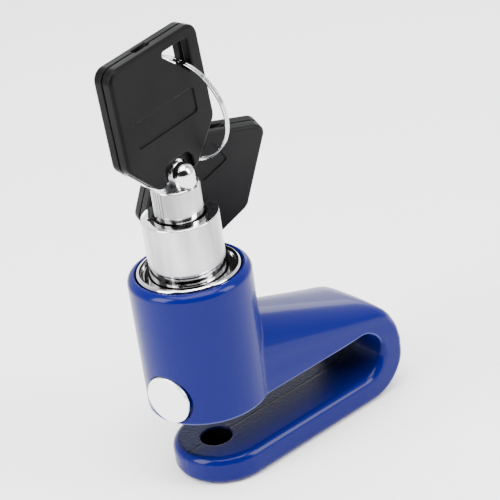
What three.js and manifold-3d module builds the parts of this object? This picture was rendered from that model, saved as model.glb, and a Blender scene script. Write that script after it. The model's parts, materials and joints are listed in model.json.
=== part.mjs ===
// Disc brake lock for a motorcycle: a cast U body with a push-down tubular lock
// cylinder, shown open (cylinder up), with one key in it and a spare on the ring.
// Millimetres, +Z up. The jaw's flat underside is z = 0 and the barrel's axis is
// x = y = 0. +X runs from the barrel to the bend of the U.
import * as THREE from 'three';
import { mergeVertices } from 'three/addons/utils/BufferGeometryUtils.js';
import { ConvexGeometry } from 'three/addons/geometries/ConvexGeometry.js';
import Module from 'manifold-3d';

const wasm = await Module();
wasm.setup();

// ---- driving dimensions -------------------------------------------------
const GAP = 0.3; // clearance between touching pieces
const DEG = Math.PI / 180;

// cast body
const BARREL_R = 13;
const BARREL_TOP = 47.9;
const BARREL_FILLET = 1.7;
const BORE_R = 11.25;
const SLOT_TOP = 17.6; // the slot takes the brake disc
const JAW_TOP = 6.5;
const SLOT_END_X = 40.8;
const BODY_HALF_WIDTH = 11.2;
const JAW_TIP_CENTRE_X = 2.05;
const EDGE_BEVEL = 1.2;
const BEND_X = 47.85; // outermost point of the bend
const BEND_Z = 10.75;
const BEND_UPPER_R = 14;
const ROOF_Z_AT_BARREL = 33;
const JAW_HOLE_R = 3.5;
const JAW_HOLE_FLOOR = 2.5;
const FLOOR_TOP = 20.4; // inside floor of the barrel
const PIN_HOLE_R = 3.75;

// side plug and the set screw behind it
const PLUG_ANGLE = -168.5 * DEG;
const PLUG_Z = 23.1;
const PLUG_R = 5.3;
const PLUG_FACE = 13.05; // the plug's flat face stands this far from the barrel's axis
const PLUG_HOLE_R = PLUG_R + GAP;
const PLUG_SEAT_R = 12;
const SCREW_R = 1.5;

// lock cylinder
const STROKE = 14;
const CYLINDER_R = 8.03;
const CYLINDER_TOP = 60.24;
const CYLINDER_BOTTOM = 37.7;
const SHELL_INNER_R = 7.45;
const KEY_HOLE_R = 5.6;
const FLANGE_R = 9.3;
const FLANGE_TOP = 43.7;
const CORE_R = 7.15;
const BOLT_R = 3.4;
const BOLT_TIP = 17.9;
const SHEAR_Z = 49.25; // plane on which the tumblers part
const TUMBLERS = 8;
const TUMBLER_PITCH_R = 4.55;
const TUMBLER_R = 0.6;
const TUMBLER_HOLE_R = 0.78;
const LATCH_Z = 41.2;
const LATCH_TRAVEL = 0.9;
const NIB_ANGLE = 60 * DEG;
const NOTCH_ANGLE = 150 * DEG;

// keys
const KEY_R = 5.08;
const KEY_BORE_R = 3.95;
const KEY_TIP = 52.9; // end of the inserted key's tube
const KEY_SHOULDER = 67.1;
const BOSS_R = 2.5;
const BOSS_Z = 69.4;
const KEY_TURN = 8 * DEG; // the inserted key's head stands this far off the X axis
const HEAD_LEAN = -3.5 * DEG; // and leans this far towards the jaw's tip
const HEAD_PIVOT_Z = 62;
const HEAD_TOP = 97.7;
const HEAD_BOTTOM = 68.8;
const HEAD_HALF_TOP = 12.75;
const HEAD_HALF_BASE = 13;
const CHAMFER_Z = 76.7;
const CHAMFER_X = 5.7;
const HEAD_HALF_T = 2.35;
const PARTING = 0.15; // half the gap between the two shells of a head
const BOW_HALF_T = 0.6;

// split ring and the spare key
const RING_R = 11.9;
const RING_WIRE_R = 0.28;
const RING_PITCH = 0.6;
const RING_CENTRE = [6.8, 4.34, 79.8];
const RING_TURN = 13.6 * DEG;
const RING_TILT = 7 * DEG;
const SPARE_CENTRE = [12.7, 10.6, 56.6];
const SPARE_ROTATION = [18.5 * DEG, 8.2 * DEG, 168.2 * DEG];
const SPARE_REF_Z = 81; // height on the spare key that sits at SPARE_CENTRE

// ---- materials ----------------------------------------------------------
const paint = (hex, roughness, metalness) =>
  new THREE.MeshStandardMaterial({ color: hex, roughness, metalness });
const BLUE = () => paint(0x2438a0, 0.25, 0.0);
const CHROME = () => paint(0xe4e6ea, 0.08, 1.0);
const STEEL = () => paint(0xa9adb3, 0.3, 1.0);
const BRASS = () => paint(0xc9a24a, 0.3, 1.0);
const RUBBER = () => paint(0x151515, 0.7, 0.0);
const PLASTIC = () => paint(0x2b2b2d, 0.45, 0.0);

// ---- solids -------------------------------------------------------------
function signedVolume(geometry) {
  const position = geometry.attributes.position;
  const index = geometry.index.array;
  const corners = [new THREE.Vector3(), new THREE.Vector3(), new THREE.Vector3()];
  let volume = 0;
  for (let i = 0; i < index.length; i += 3) {
    corners.forEach((corner, k) => corner.fromBufferAttribute(position, index[i + k]));
    volume += corners[0].dot(corners[1].clone().cross(corners[2])) / 6;
  }
  return volume;
}

// A closed geometry as a manifold solid, with its faces turned outwards.
function solid(geometry) {
  const bare = geometry.clone();
  bare.deleteAttribute('normal');
  bare.deleteAttribute('uv');
  const merged = mergeVertices(bare, 1e-5);
  const triVerts = Uint32Array.from(merged.index.array);
  if (signedVolume(merged) < 0) {
    for (let i = 0; i < triVerts.length; i += 3) {
      [triVerts[i + 1], triVerts[i + 2]] = [triVerts[i + 2], triVerts[i + 1]];
    }
  }
  const vertProperties = Float32Array.from(merged.attributes.position.array);
  return new wasm.Manifold(new wasm.Mesh({ numProp: 3, vertProperties, triVerts }));
}

function geometryOf(manifold) {
  const mesh = manifold.getMesh();
  const geometry = new THREE.BufferGeometry();
  geometry.setAttribute('position', new THREE.BufferAttribute(mesh.vertProperties, 3));
  geometry.setIndex(new THREE.BufferAttribute(mesh.triVerts, 1));
  geometry.computeVertexNormals();
  return geometry;
}

function meshOf(name, body, material) {
  const geometry = body instanceof THREE.BufferGeometry ? geometryOf(solid(body)) : geometryOf(body);
  const mesh = new THREE.Mesh(geometry, material);
  mesh.name = name;
  return mesh;
}

const arcPoints = (cx, cy, r, from, to, steps) =>
  Array.from({ length: steps + 1 }, (_, i) => {
    const a = from + ((to - from) * i) / steps;
    return [cx + r * Math.cos(a), cy + r * Math.sin(a)];
  });

// A turned piece about Z from [radius, z] points. A profile off the axis closes on itself.
function turned(profile, segments = 32) {
  const points = profile.map(([r, z]) => new THREE.Vector2(r, z));
  const onAxis = profile[0][0] === 0;
  if (!onAxis) points.push(points[0].clone());
  return new THREE.LatheGeometry(points, segments).rotateX(Math.PI / 2);
}

const disc = (r, z0, z1, segments = 32) => turned([[0, z0], [r, z0], [r, z1], [0, z1]], segments);

function shapeOf(points) {
  return new THREE.Shape(points.map(([x, y]) => new THREE.Vector2(x, y)));
}

// An outline in X and Z, given thickness along Y from y0 to y1, with bevelled edges.
function slab(outline, y0, y1, bevel = 0, bevelSegments = 2) {
  const geometry = new THREE.ExtrudeGeometry(shapeOf(outline), {
    depth: y1 - y0 - 2 * bevel,
    bevelEnabled: bevel > 0,
    bevelThickness: bevel,
    bevelSize: bevel,
    bevelOffset: -bevel,
    bevelSegments,
    steps: 1,
  });
  return geometry.rotateX(Math.PI / 2).translate(0, y1 - bevel, 0);
}

// An outline in X and Y, given height along Z from z0 to z1, with bevelled edges.
function plate(outline, z0, z1, bevel = 0) {
  const geometry = new THREE.ExtrudeGeometry(shapeOf(outline), {
    depth: z1 - z0 - 2 * bevel,
    bevelEnabled: bevel > 0,
    bevelThickness: bevel,
    bevelSize: bevel,
    bevelOffset: -bevel,
    bevelSegments: 2,
    steps: 1,
  });
  return geometry.translate(0, 0, z0 + bevel);
}

function box(x0, x1, y0, y1, z0, z1) {
  const geometry = new THREE.BoxGeometry(x1 - x0, y1 - y0, z1 - z0);
  return geometry.translate((x0 + x1) / 2, (y0 + y1) / 2, (z0 + z1) / 2);
}

// A rod that points outwards from the barrel's axis at an angle and a height.
function radialRod(r, from, to, angle, z, segments = 32) {
  const rod = new THREE.CylinderGeometry(r, r, to - from, segments).rotateZ(-Math.PI / 2);
  return rod.translate((from + to) / 2, 0, 0).rotateZ(angle).translate(0, 0, z);
}

const cut = (body, ...tools) => tools.reduce((left, tool) => left.subtract(solid(tool)), body);

// An outline with each corner rounded by its own radius: [x, y, r].
function rounded(corners, steps = 4) {
  const points = [];
  corners.forEach(([x, y, r], i) => {
    const previous = corners[(i + corners.length - 1) % corners.length];
    const next = corners[(i + 1) % corners.length];
    const corner = new THREE.Vector2(x, y);
    const back = new THREE.Vector2(previous[0], previous[1]).sub(corner).normalize();
    const ahead = new THREE.Vector2(next[0], next[1]).sub(corner).normalize();
    const half = Math.acos(THREE.MathUtils.clamp(back.dot(ahead), -1, 1)) / 2;
    if (r === 0) {
      points.push([x, y]);
      return;
    }
    const centre = back.clone().add(ahead).normalize().multiplyScalar(r / Math.sin(half)).add(corner);
    const start = corner.clone().addScaledVector(back, r / Math.tan(half)).sub(centre).angle();
    const end = corner.clone().addScaledVector(ahead, r / Math.tan(half)).sub(centre).angle();
    const sweep = THREE.MathUtils.euclideanModulo(end - start + Math.PI, 2 * Math.PI) - Math.PI;
    points.push(...arcPoints(centre.x, centre.y, r, start, start + sweep, steps));
  });
  return points;
}

class Helix extends THREE.Curve {
  constructor(radius, height, turns) {
    super();
    Object.assign(this, { radius, height, turns });
  }

  getPoint(t, target = new THREE.Vector3()) {
    const a = t * this.turns * 2 * Math.PI;
    return target.set(this.radius * Math.cos(a), this.radius * Math.sin(a), t * this.height);
  }
}

function coil(radius, height, turns, wireR, stepsPerTurn, sides) {
  const section = shapeOf(arcPoints(0, 0, wireR, 0, 2 * Math.PI, sides).slice(0, sides));
  const extrudePath = new Helix(radius, height, turns);
  const steps = Math.round(turns * stepsPerTurn);
  return new THREE.ExtrudeGeometry(section, { steps, extrudePath, bevelEnabled: false });
}

// ---- cast body ----------------------------------------------------------
const SLOT_R = (SLOT_TOP - JAW_TOP) / 2;
const SLOT_CENTRE_X = SLOT_END_X - SLOT_R;
const ROOF_SLOPE = Math.atan2(9.1, 25.5);
const roofZ = (x) => ROOF_Z_AT_BARREL - (x - BARREL_R) * Math.tan(ROOF_SLOPE);

// The side view of the arm, the bend and the root of the jaw, round the slot.
function sideOutline() {
  return [
    [JAW_TIP_CENTRE_X, 0],
    ...arcPoints(BEND_X - BEND_Z, BEND_Z, BEND_Z, -Math.PI / 2, 0, 8),
    ...arcPoints(BEND_X - BEND_UPPER_R, BEND_Z, BEND_UPPER_R, 0, Math.PI / 2 - ROOF_SLOPE, 8).slice(1),
    [0, roofZ(0)],
    [0, SLOT_TOP],
    ...arcPoints(SLOT_CENTRE_X, SLOT_TOP - SLOT_R, SLOT_R, Math.PI / 2, -Math.PI / 2, 12),
    [JAW_TIP_CENTRE_X, JAW_TOP],
  ];
}

// One arched cross-section of the arm: flat sides, then half an ellipse for the roof.
function archSection(x, sideZ, ridgeZ) {
  const arch = arcPoints(0, 0, 1, 0, Math.PI, 12).map(
    ([c, s]) => new THREE.Vector3(x, BODY_HALF_WIDTH * c, sideZ + (ridgeZ - sideZ) * s),
  );
  const foot = [-1, 1].map((side) => new THREE.Vector3(x, side * BODY_HALF_WIDTH, -1));
  return [...arch, ...foot];
}

function lockBody() {
  const uShape = solid(slab(sideOutline(), -BODY_HALF_WIDTH, BODY_HALF_WIDTH, EDGE_BEVEL));
  const roof = new ConvexGeometry([...archSection(-1, 26.4, roofZ(-1)), ...archSection(50, 17.4, 21.4)]);
  const jawEnd = SLOT_CENTRE_X + 1;
  const jaw = plate(
    [
      ...arcPoints(JAW_TIP_CENTRE_X, 0, BODY_HALF_WIDTH, Math.PI / 2, (3 * Math.PI) / 2, 24),
      [jawEnd, -BODY_HALF_WIDTH],
      [jawEnd, BODY_HALF_WIDTH],
    ],
    0,
    JAW_TOP,
    EDGE_BEVEL,
  );
  const barrel = turned(
    [
      [0, SLOT_TOP],
      [BARREL_R - GAP, SLOT_TOP],
      [BARREL_R, SLOT_TOP + GAP],
      ...arcPoints(BARREL_R - BARREL_FILLET, BARREL_TOP - BARREL_FILLET, BARREL_FILLET, 0, Math.PI / 2, 4),
      [0, BARREL_TOP],
    ],
    60,
  );
  const plugSeat = cut(
    solid(radialRod(PLUG_HOLE_R, 9, 15, PLUG_ANGLE, PLUG_Z)),
    disc(PLUG_SEAT_R, SLOT_TOP - 1, BARREL_TOP, 60),
  );
  const casting = uShape.intersect(solid(roof)).add(solid(jaw)).add(solid(barrel));
  return cut(
    casting,
    disc(BORE_R, FLOOR_TOP, BARREL_TOP + 5, 48),
    disc(PIN_HOLE_R, SLOT_TOP - 1, FLOOR_TOP + 1),
    disc(JAW_HOLE_R, JAW_HOLE_FLOOR, JAW_TOP + 1),
    radialRod(SCREW_R + GAP, 10, 12.5, PLUG_ANGLE, PLUG_Z, 16),
  ).subtract(plugSeat);
}

// ---- pieces fixed in the barrel ----------------------------------------
const SLEEVE_OUTER_R = BORE_R - 0.25;
const SLEEVE_BORE_R = FLANGE_R + GAP;
const RING_FOOT = 44.4;

function guideSleeve() {
  const grooveR = SLEEVE_BORE_R + 0.85;
  const grooveHalf = 1.3;
  const groove = (z) => [
    [SLEEVE_BORE_R, z + grooveHalf],
    [grooveR, z + grooveHalf],
    [grooveR, z - grooveHalf],
    [SLEEVE_BORE_R, z - grooveHalf],
  ];
  const tube = turned([
    [SLEEVE_BORE_R, FLOOR_TOP + GAP],
    [SLEEVE_OUTER_R, FLOOR_TOP + GAP],
    [SLEEVE_OUTER_R, RING_FOOT - GAP],
    [SLEEVE_BORE_R, RING_FOOT - GAP],
    ...groove(LATCH_Z),
    ...groove(LATCH_Z - STROKE),
  ], 40);
  return cut(solid(tube), radialRod(SCREW_R + GAP, 9, 12, PLUG_ANGLE, PLUG_Z, 16));
}

const LIP_R = 10.95;
const SEAL_Z = 46.2;

function mouthRing() {
  const inner = CYLINDER_R + 0.27;
  return turned(
    [
      [inner, RING_FOOT],
      [LIP_R, RING_FOOT],
      ...arcPoints(LIP_R - 0.75, BARREL_TOP - 0.35, 0.75, 0, Math.PI, 5),
      [inner + 0.1, BARREL_TOP - 0.6],
      [inner, BARREL_TOP - 0.7],
      [inner, SEAL_Z + 0.7],
      [inner + 0.8, SEAL_Z + 0.7],
      [inner + 0.8, SEAL_Z - 0.7],
      [inner, SEAL_Z - 0.7],
    ],
    40,
  );
}

function wiperSeal() {
  const inner = CYLINDER_R + 0.07;
  return turned([[inner, SEAL_Z], [inner + 0.35, SEAL_Z - 0.4], [inner + 0.7, SEAL_Z - 0.4],
    [inner + 0.7, SEAL_Z + 0.4], [inner + 0.35, SEAL_Z + 0.4]], 40);
}

function setScrew() {
  const socket = new THREE.CylinderGeometry(0.75, 0.75, 1.6, 6).rotateZ(-Math.PI / 2);
  socket.translate(11.5, 0, 0).rotateZ(PLUG_ANGLE).translate(0, 0, PLUG_Z);
  return cut(solid(radialRod(SCREW_R, SLEEVE_BORE_R + 0.2, 11.7, PLUG_ANGLE, PLUG_Z, 16)), socket);
}

function sidePlug() {
  const rod = solid(radialRod(PLUG_R, 9, PLUG_FACE, PLUG_ANGLE, PLUG_Z));
  return cut(rod, disc(PLUG_SEAT_R + GAP, SLOT_TOP - 2, BARREL_TOP + 1, 60));
}

const SEAT_TOP = FLOOR_TOP + 0.8;
const springSeat = () => turned([[BOLT_R + 0.5, FLOOR_TOP + GAP], [7, FLOOR_TOP + GAP],
  [7, SEAT_TOP], [BOLT_R + 0.5, SEAT_TOP]]);

function returnSpring() {
  const wireR = 0.3;
  const foot = SEAT_TOP + GAP + wireR;
  const height = CYLINDER_BOTTOM + 0.2 - GAP - wireR - foot;
  return coil(5.3, height, 3, wireR, 14, 6).translate(0, 0, foot);
}

// ---- sliding lock cylinder ---------------------------------------------
function cylinderShell() {
  const shell = turned(
    [
      [SHELL_INNER_R, CYLINDER_BOTTOM],
      [FLANGE_R - GAP, CYLINDER_BOTTOM],
      [FLANGE_R, CYLINDER_BOTTOM + GAP],
      [FLANGE_R, FLANGE_TOP - GAP],
      [FLANGE_R - GAP, FLANGE_TOP],
      [CYLINDER_R, FLANGE_TOP],
      [CYLINDER_R, CYLINDER_TOP - 0.35],
      [CYLINDER_R - 0.35, CYLINDER_TOP],
      [KEY_HOLE_R, CYLINDER_TOP],
      [KEY_HOLE_R, CYLINDER_TOP - 1.5],
      [SHELL_INNER_R, CYLINDER_TOP - 1.5],
    ],
    40,
  );
  const notch = box(5, 6.7, -0.65, 0.65, CYLINDER_TOP - 2, CYLINDER_TOP + 1).rotateZ(NOTCH_ANGLE);
  const window = box(-1.8, 1.8, 5, 10, LATCH_Z - 1.2, LATCH_Z + 1.2);
  return cut(solid(shell), notch, window);
}

const HOUSING_TOP = SHEAR_Z - 0.15;
const HOUSING_BOTTOM = 42.6;
const SPRING_FLOOR = 43.4;
const tumblerAngle = (i) => ((i + 0.5) * 2 * Math.PI) / TUMBLERS;
const atTumbler = (geometry, i) => geometry.translate(TUMBLER_PITCH_R, 0, 0).rotateZ(tumblerAngle(i));

function driverHousing() {
  const block = turned([
    [2.2, HOUSING_BOTTOM],
    [CORE_R, HOUSING_BOTTOM],
    [CORE_R, HOUSING_TOP],
    [2.2, HOUSING_TOP],
  ]);
  const holes = [...Array(TUMBLERS).keys()].map((i) =>
    atTumbler(disc(TUMBLER_HOLE_R, SPRING_FLOOR, HOUSING_TOP + 1, 10), i));
  return cut(solid(block), ...holes);
}

function lockingBolt() {
  const neckZ = CYLINDER_BOTTOM + 0.2;
  return turned([[0, BOLT_TIP], [BOLT_R - 0.7, BOLT_TIP], [BOLT_R, BOLT_TIP + 0.7], [BOLT_R, neckZ],
    [CORE_R, neckZ], [CORE_R, neckZ + 1.8], [0, neckZ + 1.8]]);
}

const ROTOR_DISC_TOP = 52.3;
const CRANK_R = 0.7;

function rotor() {
  const tailBottom = LATCH_Z + 1.1;
  const post = turned([
    [0, tailBottom],
    [1.9, tailBottom],
    [1.9, SHEAR_Z + 0.15],
    [CORE_R, SHEAR_Z + 0.15],
    [CORE_R, 58.3],
    [KEY_R + 0.32, 58.3],
    [KEY_R + 0.32, ROTOR_DISC_TOP],
    [KEY_BORE_R - 0.35, ROTOR_DISC_TOP],
    [KEY_BORE_R - 0.35, 58.9],
    [KEY_BORE_R - 0.65, 59.2],
    [0, 59.2],
  ]);
  const crank = disc(CRANK_R, LATCH_Z - 0.9, tailBottom + 0.5, 16).translate(LATCH_TRAVEL, 0, 0);
  const holes = [...Array(TUMBLERS).keys()].map((i) =>
    atTumbler(disc(TUMBLER_HOLE_R, SHEAR_Z, ROTOR_DISC_TOP + 0.5, 10), i));
  const nibSlot = box(5, 5.95, -1, 1, ROTOR_DISC_TOP + 0.2, 59).rotateZ(NIB_ANGLE);
  return cut(solid(post).add(solid(crank)), ...holes, nibSlot);
}

// Each tumbler pair has its own length, matched by the depth of its cut in the key.
const bitting = (i) => 0.3 + 0.3 * ((i * 3) % 4);
const pinBody = (z0, z1) => turned([[0, z0], [TUMBLER_R, z0], [TUMBLER_R, z1 - 0.2],
  [TUMBLER_R - 0.2, z1], [0, z1]], 8);
const keyPin = (i) => atTumbler(pinBody(SHEAR_Z + 0.18, KEY_TIP - 0.3 + bitting(i)), i);
const driverPin = (i) => atTumbler(pinBody(46.9, SHEAR_Z - 0.18), i);
const pinSpring = (i) => atTumbler(coil(0.42, 2.8, 3, 0.12, 7, 4).translate(0, 0, SPRING_FLOOR + 0.3), i);

function latchBolt() {
  const yoke = plate([[-2.8, -3], [2.8, -3], [2.8, 5], [1.5, 5.8], [1.5, 9], [0.9, 9.2],
    [-0.9, 9.2], [-1.5, 9], [-1.5, 5.8], [-2.8, 5]], LATCH_Z - 0.9, LATCH_Z + 0.9);
  const slotHalf = LATCH_TRAVEL + CRANK_R + GAP;
  const crankSlot = box(-slotHalf, slotHalf, -CRANK_R - GAP, CRANK_R + GAP, LATCH_Z - 2, LATCH_Z + 2);
  return cut(solid(yoke), crankSlot);
}

// ---- keys ---------------------------------------------------------------
function headOutline() {
  const cornerR = 3.2;
  return rounded([
    [-HEAD_HALF_TOP, HEAD_TOP, cornerR],
    [-HEAD_HALF_BASE, CHAMFER_Z, 2.4],
    [-CHAMFER_X, HEAD_BOTTOM, 1.2],
    [CHAMFER_X, HEAD_BOTTOM, 1.2],
    [HEAD_HALF_BASE, CHAMFER_Z, 2.4],
    [HEAD_HALF_TOP, HEAD_TOP, cornerR],
  ]);
}

// The hole for the ring, near one top corner.
const ringHole = () => rounded([[1.0, 95.4, 0.7], [9.5, 95.4, 0.7], [9.5, 87.9, 0.7]], 3);

// The sheet-metal bow that the plastic shells cover. Its edge shows along their lower slopes.
function bowOutline(grow) {
  const right = [
    [4.6 + grow, HEAD_BOTTOM - 3.3],
    [4.6 + grow, HEAD_BOTTOM - 0.2 - grow],
    [CHAMFER_X + 0.2 + grow, HEAD_BOTTOM - 0.2 - grow],
    [HEAD_HALF_BASE - 1 + grow, CHAMFER_Z - 1.5 - grow],
    [HEAD_HALF_BASE - 1.6 + grow, CHAMFER_Z - 0.5],
    [HEAD_HALF_BASE - 1.6 + grow, 84 + grow],
  ];
  return [...right, ...right.map(([x, z]) => [-x, z]).reverse()];
}

// A half shell of the head: front is -1, back is +1. Heights are from the head's pivot.
function headShell(side) {
  const whole = solid(slab(headOutline(), -HEAD_HALF_T, HEAD_HALF_T, 0.6));
  const half = whole.trimByPlane([0, side, 0], PARTING);
  const bowDepth = BOW_HALF_T + 0.25;
  const pocket = slab(bowOutline(GAP), -bowDepth, bowDepth);
  // The front shell is hollowed round the boss, down to a thin web, and the boss passes the web.
  const archOutline = rounded([[-3.8, 60, 0], [4.6, 60, 0], [4.6, 73.3, 2.4], [-3.8, 73.3, 2.4]]);
  const arch = slab(archOutline, -5, -bowDepth - 0.35);
  const bossRoom = bossBody(BOSS_R + 0.6).translate(0.35, 0, 0);
  const seamNotch = box(-3.2, 0.8, -0.7, 0.7, HEAD_TOP - 1, HEAD_TOP + 1);
  const faceY = side * (HEAD_HALF_T - 0.3);
  const outerY = faceY + side;
  const badgeOutline = side < 0 ? frontBadge() : backBadge();
  const badge = slab(badgeOutline, Math.min(faceY, outerY), Math.max(faceY, outerY));
  return cut(half, slab(ringHole(), -5, 5), pocket, arch, bossRoom, seamNotch, badge)
    .translate([0, 0, -HEAD_PIVOT_Z]);
}

// Blank sunk fields on the two faces of a head.
function frontBadge() {
  const corners = [[-9.2, 85.2], [-9.2, 79.8], [8.5, 79.8], [8.5, 85.2]];
  return rounded(corners.map(([x, z]) => [x, z, 0.8]), 2);
}

function backBadge() {
  const corners = [[0.4, 95.5], [-4.6, 90.5], [0.4, 85.5], [5.4, 90.5]];
  return rounded(corners.map(([x, z]) => [x, z, 1.2]), 2);
}

// The round-topped boss on the shaft's end, in front of the bow.
function bossBody(r) {
  const dome = arcPoints(0, BOSS_Z, r, 0, Math.PI / 2, 4);
  const profile = [[0, KEY_SHOULDER - 1], [r, KEY_SHOULDER - 1], ...dome];
  return turned(profile, 18).translate(0.5, -2.2, 0);
}

function keyBlank(lean) {
  const tube = solid(
    turned([
      [0, 60],
      [KEY_BORE_R, 60],
      [KEY_BORE_R, KEY_TIP],
      [KEY_R - 0.15, KEY_TIP],
      [KEY_R, KEY_TIP + 0.15],
      [KEY_R, KEY_SHOULDER - 0.3],
      [KEY_R - 0.3, KEY_SHOULDER],
      [0, KEY_SHOULDER],
    ]),
  );
  // The bow stands KEY_TURN ahead of the cuts and of the nib that keys into the rotor.
  const cuts = [...Array(TUMBLERS).keys()].map((i) =>
    atTumbler(disc(0.95, KEY_TIP - 1, KEY_TIP + bitting(i), 10), i).rotateZ(-KEY_TURN));
  const nib = box(4.6, 5.42, -0.6, 0.6, 54, 56).rotateZ(NIB_ANGLE - KEY_TURN);
  const bow = slab(bowOutline(0), -BOW_HALF_T, BOW_HALF_T).translate(0, 0, -HEAD_PIVOT_Z);
  bow.rotateY(lean).translate(0, 0, HEAD_PIVOT_Z);
  return cut(tube.add(solid(nib)), ...cuts).add(solid(bow)).add(solid(bossBody(BOSS_R)));
}

function addKey(parent, prefix, lean) {
  parent.add(meshOf(`${prefix}_blank`, keyBlank(lean), CHROME()));
  const head = new THREE.Group();
  head.position.z = HEAD_PIVOT_Z;
  head.rotation.y = lean;
  head.add(meshOf(`${prefix}_head_front`, headShell(-1), PLASTIC()));
  head.add(meshOf(`${prefix}_head_back`, headShell(1), PLASTIC()));
  parent.add(head);
}

function splitRing() {
  const turns = 1.96;
  const height = RING_PITCH * turns;
  return coil(RING_R, height, turns, RING_WIRE_R, 36, 7).translate(0, 0, -height / 2);
}

// ---- assembly -----------------------------------------------------------
const group = new THREE.Group();
group.add(meshOf('lock_body', lockBody(), BLUE()));
group.add(meshOf('guide_sleeve', guideSleeve(), STEEL()));
group.add(meshOf('mouth_ring', mouthRing(), CHROME()));
group.add(meshOf('wiper_seal', wiperSeal(), RUBBER()));
group.add(meshOf('set_screw', setScrew(), STEEL()));
group.add(meshOf('side_plug', sidePlug(), CHROME()));
group.add(meshOf('spring_seat', springSeat(), STEEL()));
group.add(meshOf('return_spring', returnSpring(), STEEL()));
group.add(meshOf('cylinder_shell', cylinderShell(), CHROME()));
group.add(meshOf('driver_housing', driverHousing(), BRASS()));
group.add(meshOf('locking_bolt', lockingBolt(), STEEL()));
group.add(meshOf('latch_bolt', latchBolt(), STEEL()));
group.add(meshOf('rotor', rotor(), BRASS()));
for (let i = 0; i < TUMBLERS; i += 1) {
  group.add(meshOf(`key_pin_${i + 1}`, keyPin(i), BRASS()));
  group.add(meshOf(`driver_pin_${i + 1}`, driverPin(i), STEEL()));
  group.add(meshOf(`pin_spring_${i + 1}`, pinSpring(i), STEEL()));
}

const insertedKey = new THREE.Group();
addKey(insertedKey, 'key', HEAD_LEAN);
insertedKey.rotation.z = KEY_TURN;
group.add(insertedKey);

const ring = meshOf('split_ring', splitRing(), CHROME());
ring.rotation.set(0, Math.PI / 2 - RING_TILT, RING_TURN, 'ZYX');
ring.position.set(...RING_CENTRE);
group.add(ring);

const spareKey = new THREE.Group();
const spareInner = new THREE.Group();
spareInner.position.z = -SPARE_REF_Z;
addKey(spareInner, 'spare_key', 0);
spareKey.add(spareInner);
spareKey.rotation.set(...SPARE_ROTATION, 'XYZ');
spareKey.position.set(...SPARE_CENTRE);
group.add(spareKey);

export default group;
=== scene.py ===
import json
import math

import bmesh
import bpy
import numpy as np
from mathutils import Matrix, Vector


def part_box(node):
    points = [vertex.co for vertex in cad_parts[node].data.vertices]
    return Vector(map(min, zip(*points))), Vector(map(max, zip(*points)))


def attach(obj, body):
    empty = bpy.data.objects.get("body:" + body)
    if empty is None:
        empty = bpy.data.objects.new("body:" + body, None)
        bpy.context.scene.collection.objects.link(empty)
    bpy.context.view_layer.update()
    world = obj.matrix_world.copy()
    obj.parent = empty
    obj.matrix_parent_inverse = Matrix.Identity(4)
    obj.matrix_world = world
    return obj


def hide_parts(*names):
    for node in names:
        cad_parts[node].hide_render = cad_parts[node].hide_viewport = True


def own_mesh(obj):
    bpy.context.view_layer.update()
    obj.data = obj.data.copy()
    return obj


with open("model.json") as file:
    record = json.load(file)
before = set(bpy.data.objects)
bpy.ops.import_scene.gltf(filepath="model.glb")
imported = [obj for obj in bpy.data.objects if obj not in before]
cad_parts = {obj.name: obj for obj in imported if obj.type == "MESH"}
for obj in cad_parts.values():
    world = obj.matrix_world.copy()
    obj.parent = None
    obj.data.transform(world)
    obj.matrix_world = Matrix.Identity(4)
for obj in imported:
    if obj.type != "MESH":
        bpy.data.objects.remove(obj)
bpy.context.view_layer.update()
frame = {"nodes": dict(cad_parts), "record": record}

MM = 0.001


def node_box(name):
    """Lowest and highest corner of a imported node, in millimetres."""
    low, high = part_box(name)
    return low / MM, high / MM


# ---- dimensions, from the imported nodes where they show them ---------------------
BODY_LOW, BODY_HIGH = node_box("lock_body")
BARREL_R = BODY_HIGH.y
BARREL_TOP = BODY_HIGH.z
BEND_X = BODY_HIGH.x
RING_LOW, RING_HIGH = node_box("mouth_ring")
SHELL_LOW, SHELL_HIGH = node_box("cylinder_shell")
BOLT_LOW, BOLT_HIGH = node_box("locking_bolt")
SPRING_LOW, SPRING_HIGH = node_box("return_spring")

# the cast body: its slot, jaw, bend, roof and the ridges along its sides
BODY_HALF_WIDTH = 11.2
JAW_TOP = 6.5
JAW_END_X = 20.0
JAW_TIP_CENTRE_X = 2.05
SLOT_TOP = 17.6
SLOT_END_X = 40.8
SLOT_MID_Z = (SLOT_TOP + JAW_TOP) / 2
SLOT_R = (SLOT_TOP - JAW_TOP) / 2
SLOT_CENTRE_X = SLOT_END_X - SLOT_R
BEND_LOWER_R = 10.75
ROOF_Z = 37.6
ROOF_SLOPE = 9.1 / 25.5
ROOF_LENGTH = math.hypot(ROOF_SLOPE, 1)
# the bend's upper arc runs into the roof without a step
BEND_UPPER_R = (ROOF_Z - BEND_LOWER_R - ROOF_SLOPE * BEND_X) / (ROOF_LENGTH - ROOF_SLOPE)
RIDGE_Z = 26.3
RIDGE_SLOPE = 0.19
# the roundings of its edges: the usual one, what the bend and the jaw add, and the others
EDGE_R = 1.4
BEND_EXTRA_R = 1.4
BEND_SOFT_X = (28, 40)
BEND_SOFT_Z = (6, 14)
JAW_EXTRA_R = 0.5
SLOT_EDGE_R = 0.45
BARREL_EDGE_R = 1.75
BARREL_FOOT_R = 0.35
HOLE_EDGE_R = 0.35
ARM_BLEND = 0.3
RIDGE_BLEND = 1.2
# its holes
BORE_R = 11.25
FLOOR_TOP = 20.4
PIN_HOLE_R = 3.75
JAW_HOLE_R = 3.5
JAW_HOLE_FLOOR = 2.5

# the side plug
PLUG_ANGLE = math.radians(-168.5)
PLUG_Z = 23.1
PLUG_R = 5.3
PLUG_FACE = 13.05
PLUG_HOLE_R = PLUG_R + 0.12
PLUG_SEAT_R = 12.0

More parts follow.
